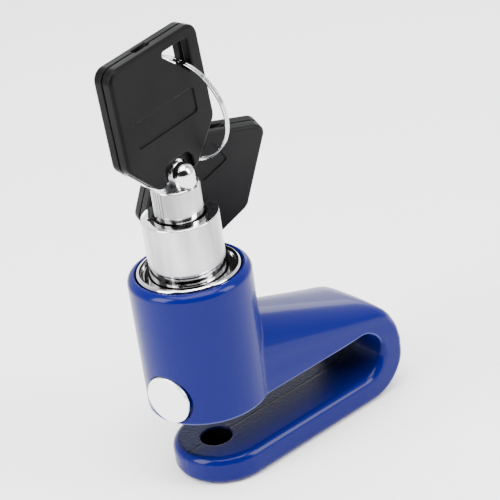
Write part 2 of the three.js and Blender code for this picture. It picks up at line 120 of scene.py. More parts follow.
# the mouth ring and the cylinder in it
LIP_R = RING_HIGH.x
LIP_ROUND = 0.6
SEAL_GROOVE = (45.5, 46.9)
SEAL_GROOVE_DEPTH = 0.8
CYLINDER_R = 8.03
RING_INNER = CYLINDER_R + 0.27
FLANGE_R = SHELL_HIGH.x
FLANGE_TOP = 43.7
SHELL_BORE_R = 7.45
KEY_HOLE_R = 5.6
KEY_HOLE_DEPTH = 1.5
NOTCH_ANGLE = math.radians(150)
NOTCH_HALF_WIDTH = 0.65

# the return spring and the bolt under it
SPRING_R = 5.3
SPRING_WIRE_R = 0.3
SPRING_COILS = 3
BOLT_R = 3.4
CARRIER_R = 7.15
CARRIER_T = 1.8

# the keys, as they stand in the lock before they are turned
KEY_R = 5.08
KEY_BORE_R = 3.95
KEY_BORE_TOP = 60.0
KEY_TIP = 52.9
KEY_SHOULDER = 67.1
KEY_CUTS = 8
KEY_CUT_R = 0.95
KEY_CUT_CIRCLE_R = 4.55
KEY_TURN = math.radians(8)
NIB_ANGLE = math.radians(60)
NIB_HALF_WIDTH = 0.6
GROOVE_LOW = 61.5
GROOVE_ANGLES = [math.radians(a) for a in (186, 178, 170, 163)]
HEAD_LEAN = math.radians(-3.5)
HEAD_PIVOT_Z = 62.0
HEAD_TOP = 97.7
HEAD_BOTTOM = 68.8
HEAD_HALF_TOP = 12.75
HEAD_HALF_BASE = 13.0
CHAMFER_Z = 76.7
CHAMFER_X = 5.7
HEAD_HALF_T = 2.35
HEAD_CORNER_R = 2.7
HEAD_EDGE_R = 0.7
BADGE_DEPTH = 0.3
PARTING = 0.15
BOW_HALF_T = 0.6
BOW_HALF_NECK = 4.6
BOW_TOP = 84.0
BOW_ROOM = 0.25
BOW_WEB = 0.35
BOSS_R = 2.5
BOSS_Z = 69.4
BOSS_PLACE = (0.5, -2.2)
BOSS_ROOM = 0.6

# the split ring and the spare key on it
SPLIT_R = 11.9
SPLIT_PITCH = 0.6
SPLIT_TURNS = 1.96
SPLIT_HALF_WIDTH = 0.23
SPLIT_HALF_HEIGHT = 0.25
SPLIT_EDGE_R = 0.11
SPLIT_CENTRE = Vector((6.8, 4.34, 79.8))
SPLIT_TURN = math.radians(13.6)
SPLIT_TILT = math.radians(7)
SPARE_CENTRE = Vector((12.7, 10.6, 56.6))
SPARE_ROTATION = [math.radians(a) for a in (18.5, 8.2, 168.2)]
SPARE_REF_Z = 81.0


# ---- signed distance fields, negative inside -------------------------------------
def smooth_max(a, b, k):
    """The greater of a and b, blended where they differ by less than k."""
    return np.maximum(a, b) + k / 4 * np.maximum(1 - np.abs(a - b) / k, 0) ** 2


def smooth_min(a, b, k):
    return -smooth_max(-a, -b, k)


def rounded_and(a, b, r):
    """Both a and b, with the edge between them rounded to radius r."""
    a, b = a + r, b + r
    return np.minimum(np.maximum(a, b), 0) + np.hypot(np.maximum(a, 0), np.maximum(b, 0)) - r


def smooth_step(x):
    x = np.clip(x, 0, 1)
    return x * x * (3 - 2 * x)


def ramp(value, start, end):
    """0 up to start and 1 from end on, smooth between them."""
    return smooth_step((value - start) / (end - start))


def polygon_distance(x, z, corners):
    """Signed distance to a closed polygon."""
    distance = np.full(np.shape(x), 1e9)
    inside = np.zeros(np.shape(x), bool)
    for (ax, az), (bx, bz) in zip(corners, corners[1:] + corners[:1]):
        dx, dz = bx - ax, bz - az
        t = np.clip(((x - ax) * dx + (z - az) * dz) / (dx * dx + dz * dz), 0, 1)
        distance = np.minimum(distance, np.hypot(x - ax - t * dx, z - az - t * dz))
        crosses = (az > z) != (bz > z)
        with np.errstate(divide="ignore", invalid="ignore"):
            inside ^= crosses & (x < ax + (z - az) * dx / np.where(dz == 0, 1, dz))
    return np.where(inside, -distance, distance)


def lock_body_field(p):
    """The casting: arm, bend, jaw and barrel in one, with its slot and holes."""
    x, y, z = p[..., 0], p[..., 1], p[..., 2]
    radius = np.hypot(x, y)
    roof = (ROOF_SLOPE * x + z - ROOF_Z) / ROOF_LENGTH
    upper_x = BEND_X - BEND_UPPER_R
    lower_x = BEND_X - BEND_LOWER_R
    on_arc = (x > upper_x) & (z - BEND_LOWER_R < (x - upper_x) / ROOF_SLOPE)
    upper = np.where(on_arc, np.hypot(x - upper_x, z - BEND_LOWER_R) - BEND_UPPER_R, roof)
    lower = np.where(x > lower_x, np.hypot(x - lower_x, z - BEND_LOWER_R) - BEND_LOWER_R, -z)
    outer = np.where(z < BEND_LOWER_R, lower, upper)
    slot = np.where(
        x < SLOT_CENTRE_X,
        np.abs(z - SLOT_MID_Z) - SLOT_R,
        np.hypot(x - SLOT_CENTRE_X, z - SLOT_MID_Z) - SLOT_R,
    )
    # the cast edges are softer on the outside of the bend than elsewhere
    soft = ramp(x, *BEND_SOFT_X) * ramp(z, *BEND_SOFT_Z) * (1 - ramp(-outer, 0, 4))
    profile = np.maximum(outer, -slot)
    profile = np.maximum(profile, JAW_TIP_CENTRE_X - x)
    # and the edge over the slot is nearly sharp
    over_slot = smooth_step(0.5 - (slot + outer) / 3) * smooth_step((z - SLOT_MID_Z) / 3)
    on_jaw = smooth_step((SLOT_MID_Z - z) / 2)
    edge = EDGE_R + BEND_EXTRA_R * soft + (SLOT_EDGE_R - EDGE_R) * over_slot + JAW_EXTRA_R * on_jaw
    arm = rounded_and(profile, np.abs(y) - BODY_HALF_WIDTH, edge)
    ridge_z = RIDGE_Z - RIDGE_SLOPE * x
    rise = ROOF_Z - ROOF_SLOPE * x - ridge_z
    arch = (np.hypot(y / BODY_HALF_WIDTH, np.maximum(z - ridge_z, 0) / rise) - 1) * rise
    # the ridge's blend fades out below it, so that it does not draw the flat sides in
    least = 0.02
    near_ridge = smooth_step(1 - (ridge_z - z) / 4)
    arm = smooth_max(arm, arch, least + (RIDGE_BLEND - least) * near_ridge)
    tip = np.where(x < JAW_TIP_CENTRE_X, np.hypot(x - JAW_TIP_CENTRE_X, y), np.abs(y))
    plan = np.maximum(tip - BODY_HALF_WIDTH, x - JAW_END_X)
    jaw = rounded_and(plan, np.abs(z - JAW_TOP / 2) - JAW_TOP / 2, EDGE_R + JAW_EXTRA_R)
    middle = (BARREL_TOP + SLOT_TOP) / 2
    barrel = rounded_and(
        radius - BARREL_R,
        np.abs(z - middle) - (BARREL_TOP - middle),
        np.where(z > middle, BARREL_EDGE_R, BARREL_FOOT_R),
    )
    cast = np.minimum(np.maximum(smooth_min(arm, barrel, ARM_BLEND), -slot), jaw)
    # below the slot's middle there is no barrel, and no blend with it
    cast = np.where(z < SLOT_MID_Z, np.minimum(arm, jaw), cast)
    bore = np.maximum(radius - BORE_R, FLOOR_TOP - z)
    pin_hole = np.maximum(radius - PIN_HOLE_R, SLOT_MID_Z - z)
    jaw_hole = np.maximum(np.maximum(radius - JAW_HOLE_R, JAW_HOLE_FLOOR - z), z - SLOT_MID_Z)
    along = x * math.cos(PLUG_ANGLE) + y * math.sin(PLUG_ANGLE)
    across = y * math.cos(PLUG_ANGLE) - x * math.sin(PLUG_ANGLE)
    recess = np.hypot(across, z - PLUG_Z) - PLUG_HOLE_R
    recess = np.maximum(np.maximum(recess, PLUG_SEAT_R - radius), -along)
    for hole in (bore, pin_hole, jaw_hole, recess):
        cast = smooth_max(cast, -hole, HOLE_EDGE_R)
    return cast


def inset(corners, d):
    """A convex polygon's corners moved inwards by d along their bisectors."""
    points = [Vector(c) for c in corners]
    centre = sum(points, Vector((0, 0))) / len(points)
    moved = []
    for i, corner in enumerate(points):
        back = (points[i - 1] - corner).normalized()
        ahead = (points[(i + 1) % len(points)] - corner).normalized()
        half = math.acos(max(-1, min(1, back.dot(ahead)))) / 2
        bisector = (back + ahead).normalized()
        if bisector.dot(centre - corner) < 0:
            bisector.negate()
        moved.append(tuple(corner + bisector * (d / math.sin(half))))
    return moved


def rounded_polygon(x, z, corners, r):
    """Signed distance to a convex polygon with its corners rounded to radius r."""
    return polygon_distance(x, z, inset(corners, r)) - r


# outlines on a key's head, in X and Z, and the radii of their corners
HEAD_OUTLINE = [
    (-HEAD_HALF_TOP, HEAD_TOP),
    (-HEAD_HALF_BASE, CHAMFER_Z),
    (-CHAMFER_X, HEAD_BOTTOM),
    (CHAMFER_X, HEAD_BOTTOM),
    (HEAD_HALF_BASE, CHAMFER_Z),
    (HEAD_HALF_TOP, HEAD_TOP),
]
RING_HOLE = [(1.0, 95.4), (9.5, 95.4), (9.5, 87.9)]
FRONT_BADGE = [(-9.2, 85.2), (-9.2, 79.8), (8.5, 79.8), (8.5, 85.2)]
BACK_BADGE = [(0.4, 95.5), (-4.6, 90.5), (0.4, 85.5), (5.4, 90.5)]
BOSS_ARCH = [(-3.8, 60), (4.6, 60), (4.6, 73.3), (-3.8, 73.3)]
BOSS_ARCH_R = 2.3
RING_HOLE_R = 0.7
BADGE_R = 0.8


def bow_outline(grow):
    """The bow plate's outline, from its neck in the shaft up into the head, grown all round."""
    right = [
        (BOW_HALF_NECK + grow, HEAD_BOTTOM - 3.3),
        (BOW_HALF_NECK + grow, HEAD_BOTTOM - 0.2 - grow),
        (CHAMFER_X + 0.2 + grow, HEAD_BOTTOM - 0.2 - grow),
        (HEAD_HALF_BASE - 1 + grow, CHAMFER_Z - 1.5 - grow),
        (HEAD_HALF_BASE - 1.6 + grow, CHAMFER_Z - 0.5),
        (HEAD_HALF_BASE - 1.6 + grow, BOW_TOP + grow),
    ]
    return right + [(-x, z) for x, z in reversed(right)]


def head_field(side):
    """One half shell of a key's head: side is -1 for the front and 1 for the back."""

    def field(p):
        x, y, z = p[..., 0], p[..., 1], p[..., 2]
        outline = rounded_polygon(x, z, HEAD_OUTLINE, HEAD_CORNER_R)
        shell = rounded_and(outline, np.abs(y) - HEAD_HALF_T, HEAD_EDGE_R)
        shell = rounded_and(shell, PARTING - side * y, 0.12)
        hole = rounded_polygon(x, z, RING_HOLE, RING_HOLE_R)
        shell = smooth_max(shell, -hole, 0.5)
        pocket_y = BOW_HALF_T + BOW_ROOM
        arch = rounded_polygon(x, z, BOSS_ARCH, BOSS_ARCH_R)
        arch = np.maximum(arch, y + pocket_y + BOW_WEB)
        shell = smooth_max(shell, -arch, 0.3)
        # the head leans over the boss, so the boss's room is a little off its place
        boss_x, boss_y = x - BOSS_PLACE[0] - 0.35, y - BOSS_PLACE[1]
        boss = np.sqrt(boss_x**2 + boss_y**2 + np.maximum(z - BOSS_Z, 0) ** 2)
        shell = np.maximum(shell, BOSS_R + BOSS_ROOM - boss)
        pocket = np.maximum(polygon_distance(x, z, bow_outline(0.3)), np.abs(y) - pocket_y)
        shell = np.maximum(shell, -pocket)
        badge = rounded_polygon(x, z, FRONT_BADGE if side < 0 else BACK_BADGE, BADGE_R)
        sunk = np.maximum(badge, HEAD_HALF_T - BADGE_DEPTH - side * y)
        shell = smooth_max(shell, -sunk, 0.12)
        # a small notch in the top edge, across the seam
        notch = np.hypot((x + 1.2) / 2.0, (z - HEAD_TOP) / 0.9) - 1
        notch = np.maximum(notch * 0.9, np.abs(y) - 0.7)
        return smooth_max(shell, -notch, 0.2)

    return field


def surface_net(name, field, low, high, step):
    """A smooth mesh of a field's zero surface, in millimetres, with the field's own normals."""
    # the grid is set off by an odd share of a step, so that no flat face lies on its planes
    low, high = np.array(low, float) - 0.137 * step, np.array(high, float)
    counts = np.ceil((high - low) / step).astype(int) + 1
    axes = [low[i] + step * np.arange(counts[i]) for i in range(3)]
    grid = np.stack(np.meshgrid(*axes, indexing="ij"), -1)
    values = field(grid)
    # an edge of the grid that crosses the surface gives its crossing to the four cells round it,
    # and a face between them; each cell's vertex is the mean of its crossings
    cells = tuple(counts - 1)
    total = np.zeros(cells + (3,))
    hits = np.zeros(cells, int)
    quads = []
    for axis in range(3):
        first = [slice(None)] * 3
        second = [slice(None)] * 3
        first[axis], second[axis] = slice(0, -1), slice(1, None)
        a, b = values[tuple(first)], values[tuple(second)]
        edges = np.argwhere((a < 0) != (b < 0))
        inner = np.ones(len(edges), bool)
        for other in range(3):
            if other != axis:
                inner &= (edges[:, other] > 0) & (edges[:, other] < counts[other] - 1)
        edges = edges[inner]
        va, vb = a[tuple(edges.T)], b[tuple(edges.T)]
        points = low + edges * step
        points[:, axis] += step * va / (va - vb)
        u, v = (axis + 1) % 3, (axis + 2) % 3
        around = []
        for du, dv in ((-1, -1), (0, -1), (0, 0), (-1, 0)):
            cell = edges.copy()
            cell[:, u] += du
            cell[:, v] += dv
            np.add.at(total, tuple(cell.T), points)
            np.add.at(hits, tuple(cell.T), 1)
            around.append(np.ravel_multi_index(tuple(cell.T), cells))
        around = np.stack(around, 1)
        around[va > 0] = around[va > 0][:, ::-1]
        quads.append(around)
    used = hits.ravel() > 0
    number = np.cumsum(used) - 1
    vertices = (total.reshape(-1, 3)[used]) / hits.ravel()[used][:, None]
    faces = number[np.concatenate(quads)]
    # the vertices are drawn onto the surface, a limited way at a time
    for _ in range(4):
        distance, normal = field_and_normal(field, vertices, step * 0.05)
        vertices -= np.clip(distance, -0.4 * step, 0.4 * step)[:, None] * normal * 0.8
    _, normal = field_and_normal(field, vertices, step * 0.2)
    mesh = bpy.data.meshes.new(name)
    mesh.from_pydata((vertices * MM).tolist(), [], faces.tolist())
    mesh.shade_smooth()
    mesh.normals_split_custom_set_from_vertices(normal.tolist())
    return mesh


def field_and_normal(field, points, reach):
    """A field's distance at each point and its unit gradient there, from steps of reach."""
    gradient = np.zeros_like(points)
    for axis in range(3):
        offset = np.zeros(3)
        offset[axis] = reach
        gradient[:, axis] = (field(points + offset) - field(points - offset)) / (2 * reach)
    size = np.linalg.norm(gradient, axis=1)
    size = np.maximum(size, 1e-6)
    return field(points) / size, gradient / size[:, None]


# ---- meshes ----------------------------------------------------------------------
SHARP_ANGLE = math.radians(32)


def new_object(name, mesh):
    thing = bpy.data.objects.new(name, mesh)
    bpy.context.scene.collection.objects.link(thing)
    return thing


def mesh_from(name, vertices, faces, sharp=SHARP_ANGLE):
    """A mesh from millimetres, shaded smooth except where faces meet past the sharp angle."""
    mesh = bpy.data.meshes.new(name)
    mesh.from_pydata([tuple(c * MM for c in v) for v in vertices], [], faces)
    tidy = bmesh.new()
    tidy.from_mesh(mesh)
    bmesh.ops.remove_doubles(tidy, verts=tidy.verts, dist=1e-7)
    bmesh.ops.recalc_face_normals(tidy, faces=tidy.faces)
    tidy.to_mesh(mesh)
    tidy.free()
    mesh.shade_smooth()
    mesh.set_sharp_from_angle(angle=sharp)
    return mesh


def arc(cx, cy, r, start, end, steps):
    """Points along an arc, from start to end in degrees."""
    angles = [math.radians(start + (end - start) * i / steps) for i in range(steps + 1)]
    return [(cx + r * math.cos(a), cy + r * math.sin(a)) for a in angles]


def lathe(name, profile, segments=128, centre=(0, 0)):
    """A turned mesh about Z. A profile that starts on the axis also ends on it; others close."""
    closed = profile[0][0] > 0
    vertices, faces = [], []
    count = len(profile)
    for i in range(segments):
        a = 2 * math.pi * i / segments
        for r, z in profile:
            vertices.append((centre[0] + r * math.cos(a), centre[1] + r * math.sin(a), z))
    for i in range(segments):
        here, there = i * count, (i + 1) % segments * count
        for j in range(count if closed else count - 1):
            k = (j + 1) % count
            faces.append((here + j, there + j, there + k, here + k))
    return mesh_from(name, vertices, faces)


def prism(name, outline, y0, y1):
    """An outline in X and Z with thickness along Y."""
    vertices = [(x, y, z) for y in (y0, y1) for x, z in outline]
    count = len(outline)
    faces = [tuple(range(count)), tuple(range(2 * count - 1, count - 1, -1))]
    for i in range(count):
        j = (i + 1) % count
        faces.append((i, j, count + j, count + i))
    return mesh_from(name, vertices, faces)


def block(name, x, y, z):
    """A box. x, y and z each give its lowest and its highest value there."""
    outline = [(x[0], z[0]), (x[1], z[0]), (x[1], z[1]), (x[0], z[1])]
    return prism(name, outline, y[0], y[1])


def combine(name, base, tools, operation="DIFFERENCE"):
    """base with each tool mesh cut away from it or joined to it."""
    thing = new_object(name, base)
    helpers = []
    for tool in tools:
        helper = new_object("helper", tool)
        helpers.append(helper)
        modifier = thing.modifiers.new("cut", "BOOLEAN")
        modifier.operation = operation
        modifier.solver = "EXACT"
        modifier.object = helper
    bpy.context.view_layer.update()
    graph = bpy.context.evaluated_depsgraph_get()
    result = bpy.data.meshes.new_from_object(thing.evaluated_get(graph))
    result.name = name
    result.shade_smooth()
    result.set_sharp_from_angle(angle=SHARP_ANGLE)
    for helper in helpers + [thing]:
        bpy.data.objects.remove(helper)
    return result


def turned_mesh(mesh, angle):
    mesh.transform(Matrix.Rotation(angle, 4, "Z"))
    return mesh


def sweep(name, path, section, up):
    """A closed section carried along a path. up is the fixed direction of the section's height."""
    vertices, faces = [], []
    count = len(section)
    for i, point in enumerate(path):
        before, after = path[max(i - 1, 0)], path[min(i + 1, len(path) - 1)]
        tangent = (after - before).normalized()
        out = tangent.cross(up).normalized()
        for u, v in section:
            vertices.append(point + out * u + up * v)
    for i in range(len(path) - 1):
        for j in range(count):
            k = (j + 1) % count
            faces.append((i * count + j, i * count + k, (i + 1) * count + k, (i + 1) * count + j))
    faces.append(tuple(range(count)))
    faces.append(tuple((len(path) - 1) * count + j for j in range(count)))
    return mesh_from(name, vertices, faces, math.radians(40))


# ---- materials -------------------------------------------------------------------
class Finish:
    """A node material built step by step round one Principled shader."""

    def __init__(self, name, color, roughness, metallic=0.0, coat=0.0):
        self.material = bpy.data.materials.new(name)
        self.material.use_nodes = True
        self.tree = self.material.node_tree
        self.shader = self.tree.nodes["Principled BSDF"]
        self.shader.inputs["Base Color"].default_value = (*color, 1)
        self.shader.inputs["Roughness"].default_value = roughness
        self.shader.inputs["Metallic"].default_value = metallic
        self.shader.inputs["Coat Weight"].default_value = coat
        self.color = color
        self.place = self.node("ShaderNodeTexCoord").outputs["Object"]
        self.height = None

    def node(self, kind, **values):
        made = self.tree.nodes.new(kind)
        for key, value in values.items():
            if key in made.inputs:
                made.inputs[key].default_value = value
            else:
                setattr(made, key, value)
        return made

    def link(self, source, target):
        self.tree.links.new(source, target)

    def noise(self, scale, detail=4.0, stretch=(1, 1, 1)):
        """Noise over the object's own place, scale in features per millimetre."""
        mapping = self.node("ShaderNodeMapping")
        mapping.inputs["Scale"].default_value = stretch
        self.link(self.place, mapping.inputs["Vector"])
        texture = self.node("ShaderNodeTexNoise", Scale=scale / MM, Detail=detail)
        self.link(mapping.outputs["Vector"], texture.inputs["Vector"])
        return texture.outputs["Fac"]

    def math(self, operation, a, b=0.0, c=0.0):
        made = self.node("ShaderNodeMath", operation=operation)
        for slot, value in zip(made.inputs, (a, b, c)):
            if isinstance(value, (int, float)):
                slot.default_value = value
            else:
                self.link(value, slot)
        return made.outputs["Value"]

    def hypotenuse(self, a, b):
        squares = self.math("ADD", self.math("POWER", a, 2.0), self.math("POWER", b, 2.0))
        return self.math("SQRT", squares)

    def spread(self, source, low, high, out_low=0.0, out_high=1.0):
        """source stretched from low and high to out_low and out_high, and clamped to them."""
        made = self.node("ShaderNodeMapRange")
        made.inputs["From Min"].default_value = low
        made.inputs["From Max"].default_value = high
        made.inputs["To Min"].default_value = out_low
        made.inputs["To Max"].default_value = out_high
        self.link(source, made.inputs["Value"])
        return made.outputs["Result"]

    def split(self, vector):
        made = self.node("ShaderNodeSeparateXYZ")
        self.link(vector, made.inputs["Vector"])
        return made.outputs

    def vary_roughness(self, source, low, high):
        self.link(self.spread(source, 0.35, 0.65, low, high), self.shader.inputs["Roughness"])

    def tint(self, mask, color):
        """Lays color over what the base colour is so far, as far as mask says."""
        mix = self.node("ShaderNodeMix", data_type="RGBA")
        before = self.shader.inputs["Base Color"]
        if before.is_linked:
            self.link(before.links[0].from_socket, mix.inputs["A"])
        else:
            mix.inputs["A"].default_value = (*self.color, 1)
        mix.inputs["B"].default_value = (*color, 1)
        self.link(mask, mix.inputs["Factor"])
        self.link(mix.outputs["Result"], before)

    def raise_by(self, source, depth_mm):
        """Adds source times depth, in millimetres, to the surface's relief."""
        self.height = self.math("MULTIPLY_ADD", source, depth_mm * MM, self.height or 0.0)

    def done(self):
        if self.height is not None:
            bump = self.node("ShaderNodeBump", Distance=1.0, Strength=1.0)
            self.link(self.height, bump.inputs["Height"])
            self.link(bump.outputs["Normal"], self.shader.inputs["Normal"])
            if self.shader.inputs["Coat Weight"].default_value > 0:
                self.link(bump.outputs["Normal"], self.shader.inputs["Coat Normal"])
        return self.material


PAINT = (0.0018, 0.0034, 0.088)
CHROME = (0.86, 0.86, 0.87)
CHIP_PLACE = Vector((JAW_TIP_CENTRE_X - 10.65, 3.4, 3.2))


def body_paint():
    """Gloss blue paint over a die casting, dark and pebbled in the slot, with painted shade in the
    slot and in the jaw's hole and a painted highlight along the edge over the slot.
    """
    finish = Finish("cast_body_paint", PAINT, 0.28, coat=0.16)
    finish.shader.inputs["Specular IOR Level"].default_value = 0.05
    finish.shader.inputs["Coat Roughness"].default_value = 0.06
    x, y, z = finish.split(finish.place)
    finish.raise_by(finish.noise(0.35, 2), 0.008)
    # how far a point stands from the slot's wall, seen from the side
    beyond = finish.math("MAXIMUM", finish.math("SUBTRACT", x, SLOT_CENTRE_X * MM), 0.0)
    rise = finish.math("SUBTRACT", z, SLOT_MID_Z * MM)
    from_slot = finish.hypotenuse(beyond, rise)
    in_slot = finish.spread(from_slot, (SLOT_R + 0.08) * MM, (SLOT_R + 0.30) * MM, 1.0, 0.0)
    low_down = finish.spread(z, (SLOT_TOP - 0.4) * MM, (SLOT_TOP + 0.4) * MM, 1.0, 0.0)
    outside = finish.spread(x, (BARREL_R + 0.2) * MM, (BARREL_R + 1) * MM)
    parting = finish.spread(finish.math("ABSOLUTE", y), 0.0, 0.4 * MM, 1.0, 0.0)
    # the mould's parting line: a groove in the slot, a fine ridge outside
    finish.raise_by(finish.math("MULTIPLY", parting, low_down), -0.04)
    finish.raise_by(finish.math("MULTIPLY", parting, outside), 0.012)
    # thin rough paint in the slot, thinner and rougher away from the front (-Y) side; the slot's
    # darker colour, deepening towards the back, is partly that paint and partly painted shade
    # under the arm and barrel
    inward = finish.spread(y, -BODY_HALF_WIDTH * 0.8 * MM, 2 * MM)
    pebbles = finish.math("MULTIPLY", finish.noise(1.5, 5), inward)
    finish.raise_by(finish.math("MULTIPLY", pebbles, in_slot), 0.11)
    thin_paint_and_shade = finish.math("MULTIPLY", in_slot, finish.spread(inward, 0, 0.7, 0.2, 0.92))
    finish.tint(thin_paint_and_shade, (0.0015, 0.0035, 0.024))
    seam = finish.spread(finish.math("ABSOLUTE", y), 0.1 * MM, 0.3 * MM, 1.0, 0.0)
    finish.tint(finish.math("MULTIPLY", seam, in_slot), (0.001, 0.001, 0.003))
    # painted highlight: a light lavender line along the sharp edge over the slot, where the edge
    # would catch the light
    off_edge = finish.math("ABSOLUTE", finish.math("SUBTRACT", from_slot, (SLOT_R + 0.3) * MM))
    painted_edge_highlight = finish.spread(off_edge, 0.04 * MM, 0.2 * MM, 0.45, 0.0)
    painted_edge_highlight = finish.math("MULTIPLY", painted_edge_highlight, finish.spread(rise, 1 * MM, 3 * MM))
    finish.tint(painted_edge_highlight, (0.12, 0.14, 0.34))
    # a small chip in the paint of the jaw's tip
    chip = finish.node("ShaderNodeVectorMath", operation="DISTANCE")
    chip.inputs[1].default_value = CHIP_PLACE * MM
    finish.link(finish.place, chip.inputs[0])
    ragged = finish.math("MULTIPLY_ADD", finish.noise(1.2, 3), 0.5 * MM, chip.outputs["Value"])
    chipped = finish.spread(ragged, 0.7 * MM, 0.85 * MM, 1.0, 0.0)
    finish.raise_by(chipped, -0.12)
    finish.tint(finish.math("MULTIPLY", chipped, 0.8), (0.06, 0.06, 0.09))
    # the jaw's hole is painted near black inside as painted shade, and neither it nor the slot is
    # as glossy as the rest
    radius = finish.hypotenuse(x, y)
    near_axis = finish.spread(radius, JAW_HOLE_R * MM, (JAW_HOLE_R + 0.12) * MM, 1.0, 0.0)
    under_rim = finish.spread(z, (JAW_TOP - 0.3) * MM, (JAW_TOP - 0.1) * MM, 1.0, 0.0)
    in_hole = finish.math("MULTIPLY", near_axis, under_rim)
    finish.tint(in_hole, (0.002, 0.002, 0.003))
    finish.link(finish.spread(in_slot, 0, 1, 0.26, 0.40), finish.shader.inputs["Roughness"])
    coat = finish.spread(in_slot, 0, 1, 0.16, 0.05)
    glossy = finish.math("MULTIPLY", finish.math("SUBTRACT", 1.0, in_hole), coat)
    finish.link(glossy, finish.shader.inputs["Coat Weight"])
    return finish.done()


def scaled(color, share):
    return tuple(c * share for c in color)


def plated(name, color=CHROME, roughness=0.06, grain=0.004, around=True, satin=None):
    """Polished plate with turning marks and handling marks.

    The last argument gives two heights and a roughness to add: brushed and darkened in vertical
    bands between them as painted reflection, and streaked dark below them as painted reflection.
    """
    finish = Finish(name, color, roughness, metallic=1.0)
    rings = finish.noise(0.5, 5, (0.05, 0.05, 6) if around else (6, 0.4, 0.4))
    finish.raise_by(rings, grain)
    smears = finish.noise(0.12, 5)
    finish.vary_roughness(smears, roughness * 0.7, roughness * 1.7)
    if satin:
        low, high, brushed = satin
        z = finish.split(finish.place)["Z"]
        above = finish.spread(z, (low - 0.15) * MM, (low + 0.15) * MM)
        below = finish.spread(z, (high - 0.05) * MM, (high + 0.05) * MM, 1.0, 0.0)
        band = finish.math("MULTIPLY", above, below)
        polished = finish.shader.inputs["Roughness"].links[0].from_socket
        rougher = finish.math("MULTIPLY_ADD", band, brushed, polished)
        finish.link(rougher, finish.shader.inputs["Roughness"])
        finish.raise_by(finish.math("MULTIPLY", finish.noise(0.5, 5, (0.4, 0.4, 7)), band), 0.003)
        # painted reflection: the brushed band darkened in soft vertical bands, standing in for the
        # darker studio it reflects
        painted_reflection_bands = finish.spread(finish.noise(0.16, 3, (1, 1, 0.15)), 0.35, 0.65, 0.45, 0.95)
        finish.tint(finish.math("MULTIPLY", painted_reflection_bands, band), scaled(color, 0.3))
        # painted reflection: near-black vertical streaks on the mirror-polished part below the
        # band, standing in for the dark surroundings it reflects
        painted_dark_streaks = finish.spread(finish.noise(0.22, 3, (1, 1, 0.1)), 0.42, 0.55)
        painted_dark_streaks = finish.math("MULTIPLY", painted_dark_streaks, finish.math("SUBTRACT", 1.0, above))
        finish.tint(finish.math("MULTIPLY", painted_dark_streaks, 0.93), scaled(color, 0.04))
    wear = finish.spread(finish.noise(1.6, 6), 0.66, 0.74)
    finish.tint(finish.math("MULTIPLY", wear, 0.3), scaled(color, 0.7))
    return finish.done()


def plastic(name, color):
    """Satin black moulded plastic with a fine spark-eroded grain."""
    finish = Finish(name, color, 0.42)
    finish.shader.inputs["Specular IOR Level"].default_value = 0.07
    grain = finish.noise(5.0, 3)
    finish.raise_by(grain, 0.012)
    flow = finish.noise(0.09, 4)
    finish.vary_roughness(flow, 0.36, 0.5)
    dust = finish.spread(finish.noise(2.2, 6), 0.64, 0.78)
    finish.tint(finish.math("MULTIPLY", dust, 0.25), scaled(color, 2.4))
    return finish.done()


def machined(name, color, roughness=0.28):
    """Turned or drawn metal, unplated, with light oxide blotches."""
    finish = Finish(name, color, roughness, metallic=1.0)
    finish.raise_by(finish.noise(0.8, 5, (0.1, 0.1, 5)), 0.010)
    blotches = finish.noise(0.35, 6)
    finish.vary_roughness(blotches, roughness * 0.8, roughness * 1.5)
    stain = finish.spread(blotches, 0.55, 0.75)
    finish.tint(finish.math("MULTIPLY", stain, 0.35), scaled(color, 0.55))
    return finish.done()


def rubber(name):
    finish = Finish(name, (0.012, 0.012, 0.013), 0.6)
    finish.raise_by(finish.noise(2.5, 4), 0.02)
    finish.vary_roughness(finish.noise(0.4, 4), 0.5, 0.75)
    return finish.done()


def floor_finish():
    finish = Finish("studio_floor", (0.94, 0.94, 0.945), 0.75)
    finish.vary_roughness(finish.noise(0.02, 3), 0.7, 0.8)
    return finish.done()


